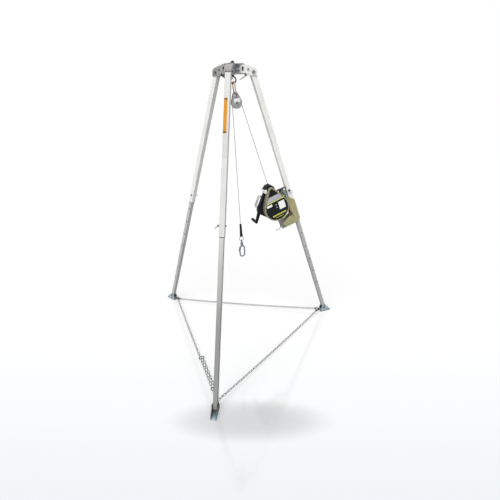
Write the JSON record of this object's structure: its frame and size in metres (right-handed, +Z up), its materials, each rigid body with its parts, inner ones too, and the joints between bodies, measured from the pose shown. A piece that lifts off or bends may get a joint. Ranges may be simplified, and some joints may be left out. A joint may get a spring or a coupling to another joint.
{
  "type": "rescue tripod",
  "caption": "Rescue tripod with telescoping hinged legs, foot chain, head pulley on a carabiner, and a leg-mounted crank winch with wire line and swivel snap hook.",
  "frame": {"origin": "on the floor, under the centre of the standing tripod's box", "axes": "+Z up; one leg, the front one, points to -Y; +X to the side of the winch leg"},
  "size_m": [2.055, 1.7798, 2.6376],
  "materials": {
    "leg_aluminium": "satin mill finish",
    "tube_aluminium": "satin mill finish",
    "head_metal": "satin grey",
    "zinc_steel": "zinc plated",
    "dark_steel": "dark plated",
    "gold_zinc": "yellow zinc plated",
    "cast_housing": "painted satin olive grey",
    "black_plastic": "matt black",
    "black_cover": "matt black paint",
    "grey_cheek": "satin grey",
    "wire": "laid galvanised wire",
    "foot_steel": "blue grey plated"
  },
  "bodies": {
    "head": {"head_arm_front": "head_metal", "head_arm_left": "head_metal", "head_arm_right": "head_metal", "hub_top_plate": "head_metal", "hub_bottom_plate": "head_metal", "hub_brackets": "foot_steel", "hub_bolts": "zinc_steel", "leg_hinge_bolts": "zinc_steel", "eye_bolt": "dark_steel", "carabiner_body": "gold_zinc", "pulley_cheeks": "grey_cheek", "pulley_axle": "zinc_steel", "lifeline_run": "wire", "lifeline_drop": "wire"},
    "carabiner_gate": {"carabiner_gate": "gold_zinc"},
    "sheave": {"pulley_sheave": "zinc_steel"},
    "leg_front": {"upper_leg_front": "leg_aluminium", "glide_bush_front": "black_plastic"},
    "leg_left": {"upper_leg_left": "leg_aluminium", "glide_bush_left": "black_plastic"},
    "leg_right": {"upper_leg_right": "leg_aluminium", "glide_bush_right": "black_plastic", "winch_bracket": "gold_zinc", "winch_fasteners": "zinc_steel", "winch_front_cover": "cast_housing", "winch_rear_cover": "black_cover", "winch_face_plate": "black_plastic", "rope_guide": "black_plastic", "drum_shaft": "zinc_steel", "retract_spring": "dark_steel"},
    "lower_front": {"lower_leg_front": "tube_aluminium", "foot_bolt_front": "zinc_steel", "chain_front": "zinc_steel", "chain_tail": "dark_steel"},
    "foot_front": {"foot_front": "foot_steel"},
    "pin_front": {"lock_pin_front": "zinc_steel"},
    "latch_front": {"leg_latch_front": "zinc_steel"},
    "lower_left": {"lower_leg_left": "tube_aluminium", "foot_bolt_left": "zinc_steel", "chain_left": "zinc_steel"},
    "foot_left": {"foot_left": "foot_steel"},
    "pin_left": {"lock_pin_left": "zinc_steel"},
    "latch_left": {"leg_latch_left": "zinc_steel"},
    "lower_right": {"lower_leg_right": "tube_aluminium", "foot_bolt_right": "zinc_steel", "chain_right": "zinc_steel"},
    "foot_right": {"foot_right": "foot_steel"},
    "pin_right": {"lock_pin_right": "zinc_steel"},
    "latch_right": {"leg_latch_right": "zinc_steel"},
    "drum": {"winch_drum": "leg_aluminium", "drum_line": "wire", "drum_gear": "zinc_steel"},
    "crank": {"crank_shaft": "zinc_steel", "crank_arm": "zinc_steel"},
    "grip": {"crank_grip": "black_plastic"},
    "bail": {"carry_handle": "zinc_steel"},
    "line_end": {"line_ferrule": "black_plastic", "hook_swivel": "foot_steel"},
    "hook": {"snap_hook": "foot_steel"},
    "gate": {"hook_gate": "foot_steel"}
  },
  "joints": [
    {"name": "leg_fold_front", "type": "hinge", "parent": "head", "child": "leg_front", "pos_m": [0, 0.1119, 2.55958], "axis": [1, 0, 0], "range_deg": [0, 11], "deforming": ["chain_front", "chain_left", "chain_right", "chain_tail"]},
    {"name": "leg_fold_left", "type": "hinge", "parent": "head", "child": "leg_left", "pos_m": [-0.14722, 0.3669, 2.55958], "axis": [-0.5, -0.866, 0], "range_deg": [0, 11]},
    {"name": "leg_fold_right", "type": "hinge", "parent": "head", "child": "leg_right", "pos_m": [0.14722, 0.3669, 2.55958], "axis": [-0.5, 0.866, 0], "range_deg": [0, 11], "deforming": ["lifeline_run"]},
    {"name": "leg_slide_front", "type": "slide", "parent": "leg_front", "child": "lower_front", "axis": [0, 0.342, 0.9397], "range_m": [0, 1.008]},
    {"name": "leg_slide_left", "type": "slide", "parent": "leg_left", "child": "lower_left", "axis": [0.2962, -0.171, 0.9397], "range_m": [0, 1.008]},
    {"name": "leg_slide_right", "type": "slide", "parent": "leg_right", "child": "lower_right", "axis": [-0.2962, -0.171, 0.9397], "range_m": [0, 1.008]},
    {"name": "foot_tilt_front", "type": "hinge", "parent": "lower_front", "child": "foot_front", "pos_m": [0, -0.79787, 0.06], "axis": [1, 0, 0], "range_deg": [-20, 20]},
    {"name": "foot_tilt_left", "type": "hinge", "parent": "lower_left", "child": "foot_left", "pos_m": [-0.93511, 0.82179, 0.06], "axis": [-0.5, -0.866, 0], "range_deg": [-20, 20]},
    {"name": "foot_tilt_right", "type": "hinge", "parent": "lower_right", "child": "foot_right", "pos_m": [0.93511, 0.82179, 0.06], "axis": [-0.5, 0.866, 0], "range_deg": [-20, 20]},
    {"name": "pin_pull_front", "type": "slide", "parent": "leg_front", "child": "pin_front", "axis": [-1, 0, 0], "range_m": [0, 0.07]},
    {"name": "pin_pull_left", "type": "slide", "parent": "leg_left", "child": "pin_left", "axis": [0.5, 0.866, 0], "range_m": [0, 0.07]},
    {"name": "pin_pull_right", "type": "slide", "parent": "leg_right", "child": "pin_right", "axis": [0.5, -0.866, 0], "range_m": [0, 0.07]},
    {"name": "latch_press_front", "type": "hinge", "parent": "head", "child": "latch_front", "pos_m": [0, 0.1599, 2.54758], "axis": [1, 0, 0], "range_deg": [-15, 0], "stiffness_Nm_per_rad": 2, "springref_deg": 6.88},
    {"name": "latch_press_left", "type": "hinge", "parent": "head", "child": "latch_left", "pos_m": [-0.10565, 0.3429, 2.54758], "axis": [-0.5, -0.866, 0], "range_deg": [-15, 0], "stiffness_Nm_per_rad": 2, "springref_deg": 6.88},
    {"name": "latch_press_right", "type": "hinge", "parent": "head", "child": "latch_right", "pos_m": [0.10565, 0.3429, 2.54758], "axis": [-0.5, 0.866, 0], "range_deg": [-15, 0], "stiffness_Nm_per_rad": 2, "springref_deg": 6.88},
    {"name": "carabiner_gate_open", "type": "hinge", "parent": "head", "child": "carabiner_gate", "pos_m": [-0.00318, 0.31009, 2.42797], "axis": [0.8554, 0.4938, 0.1564], "range_deg": [0, 25], "stiffness_Nm_per_rad": 0.4, "springref_deg": -8.59},
    {"name": "crank_spin", "type": "hinge", "parent": "leg_right", "child": "crank", "pos_m": [0.23552, 0.41788, 1.35582], "axis": [-0.5, 0.866, 0], "range_deg": [0, 2880]},
    {"name": "drum_spin", "type": "hinge", "parent": "leg_right", "child": "drum", "pos_m": [0.35322, 0.48583, 1.37979], "axis": [-0.5, 0.866, 0], "range_deg": [-801, 1]},
    {"name": "sheave_spin", "type": "hinge", "parent": "head", "child": "sheave", "pos_m": [0.02345, 0.29544, 2.32861], "axis": [-0.5, 0.866, 0], "range_deg": [-1, 1221.21]},
    {"name": "hook_lift", "type": "slide", "parent": "head", "child": "line_end", "axis": [-0.0438, -0.0253, 0.9987], "range_m": [0, 0.81], "deforming": ["lifeline_drop"]},
    {"name": "hook_swivel_spin", "type": "hinge", "parent": "line_end", "child": "hook", "pos_m": [0.04805, 0.30964, 1.01687], "axis": [-0.0438, -0.0253, 0.9987], "continuous": true},
    {"name": "hook_gate_open", "type": "hinge", "parent": "hook", "child": "gate", "pos_m": [0.03793, 0.3038, 1.01027], "axis": [-0.5, 0.866, 0], "range_deg": [-28, 0], "stiffness_Nm_per_rad": 0.4, "springref_deg": 8.59},
    {"name": "grip_spin", "type": "hinge", "parent": "crank", "child": "grip", "pos_m": [0.14014, 0.51061, 1.22059], "axis": [-0.5, 0.866, 0], "continuous": true},
    {"name": "bail_swing", "type": "hinge", "parent": "leg_right", "child": "bail", "pos_m": [0.20532, 0.43278, 1.43897], "axis": [0.296, 0.1709, 0.9398], "range_deg": [-15, 80]}
  ],
  "couplings": [
    {"joint": "leg_fold_left", "follows": "leg_fold_front", "ratio": 1},
    {"joint": "leg_fold_right", "follows": "leg_fold_front", "ratio": 1},
    {"joint": "drum_spin", "follows": "crank_spin", "ratio": -0.27778},
    {"joint": "sheave_spin", "follows": "crank_spin", "ratio": 0.42368},
    {"joint": "hook_lift", "follows": "crank_spin", "m_per_rad": 0.0161}
  ]
}
